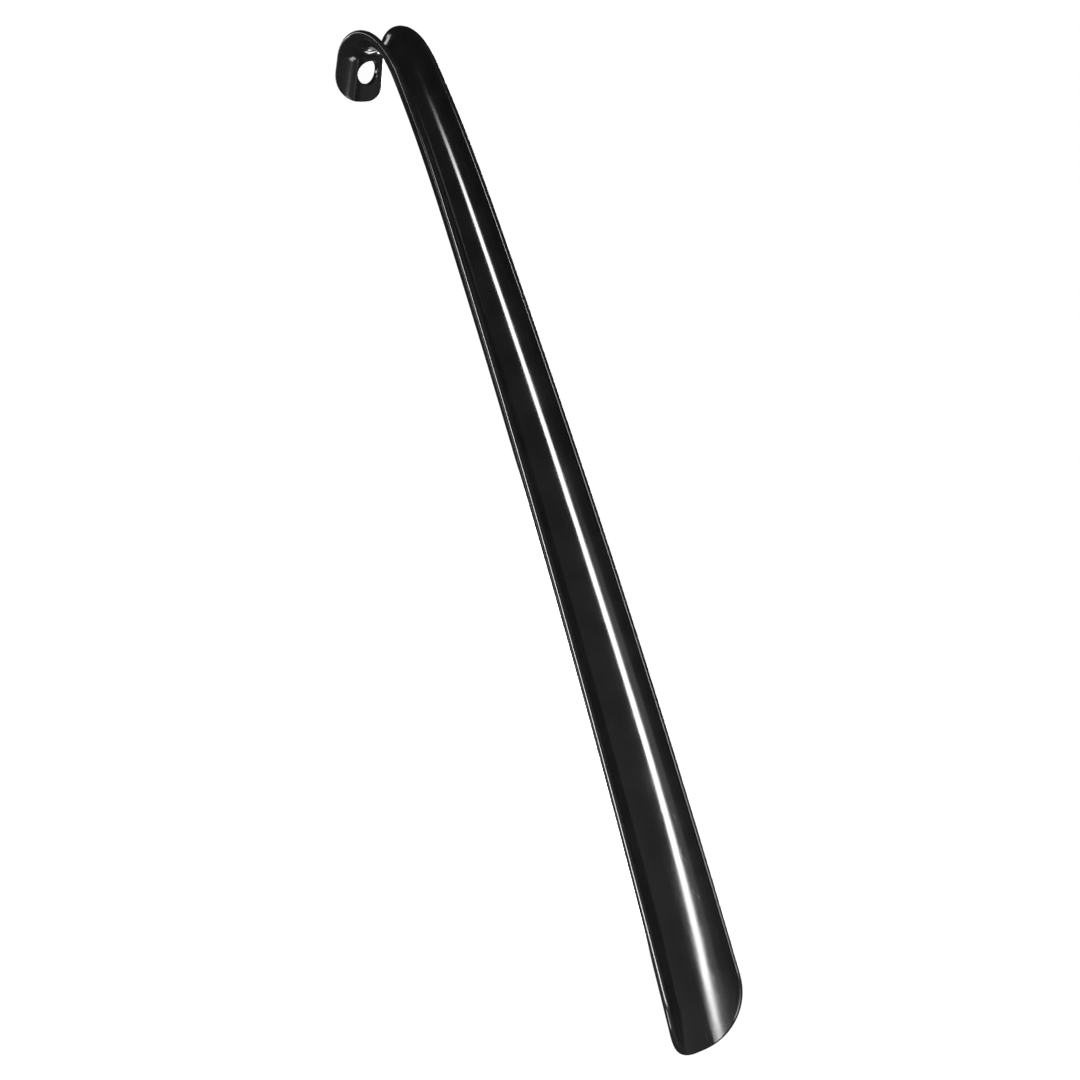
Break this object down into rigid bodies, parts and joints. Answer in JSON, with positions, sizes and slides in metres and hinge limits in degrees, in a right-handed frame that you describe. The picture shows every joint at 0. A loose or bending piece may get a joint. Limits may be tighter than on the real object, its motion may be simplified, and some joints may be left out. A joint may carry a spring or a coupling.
{
  "type": "long shoehorn",
  "caption": "Long trough-shaped shoehorn with a hook bent over at the top and a round hanging hole in its tab.",
  "frame": {"origin": "centre of the hanging hole in the tab, on the middle of the wall", "axes": "+Y along the blade from the heel tip to the hook, +Z out of the hollow front of the trough that takes the heel, -Z the back that the hook bends over, +X to the right with the hook end away from the viewer; symmetric about the YZ plane. The shoehorn is on its back with the hollow up; on a table it turns about 4.5 degrees from this about X, until its heel tip touches as well as its tab"},
  "size_m": [0.0436, 0.4567, 0.0536],
  "materials": {
    "black_plastic": "high-gloss black injection-moulded plastic, polished inside and out, with fully rounded rims"
  },
  "bodies": {
    "root": {"shoehorn_moulding": "black_plastic"}
  },
  "joints": []
}
